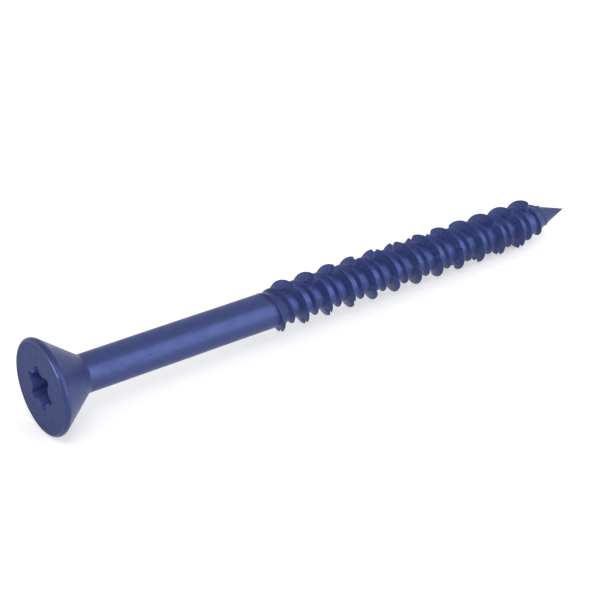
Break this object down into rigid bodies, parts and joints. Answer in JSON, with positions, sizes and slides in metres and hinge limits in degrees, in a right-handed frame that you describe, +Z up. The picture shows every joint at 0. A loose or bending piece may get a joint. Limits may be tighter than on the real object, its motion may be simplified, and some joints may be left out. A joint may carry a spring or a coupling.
{
  "type": "concrete screw",
  "caption": "Blue coated flat-head concrete screw with a six-lobe drive recess, plain shank, notched high-low thread and tapered point, for fastening into masonry.",
  "frame": {"origin": "bottom centre of the box around the lying screw, on the surface it rests on", "axes": "+X from the head to the point, +Z up; the axis of the screw drops towards the point because the rim is wider than the thread"},
  "size_m": [0.0828, 0.012, 0.0119],
  "materials": {
    "blue_coating": "satin blue corrosion coating on steel"
  },
  "bodies": {
    "root": {"concrete_screw": "blue_coating"}
  },
  "joints": []
}
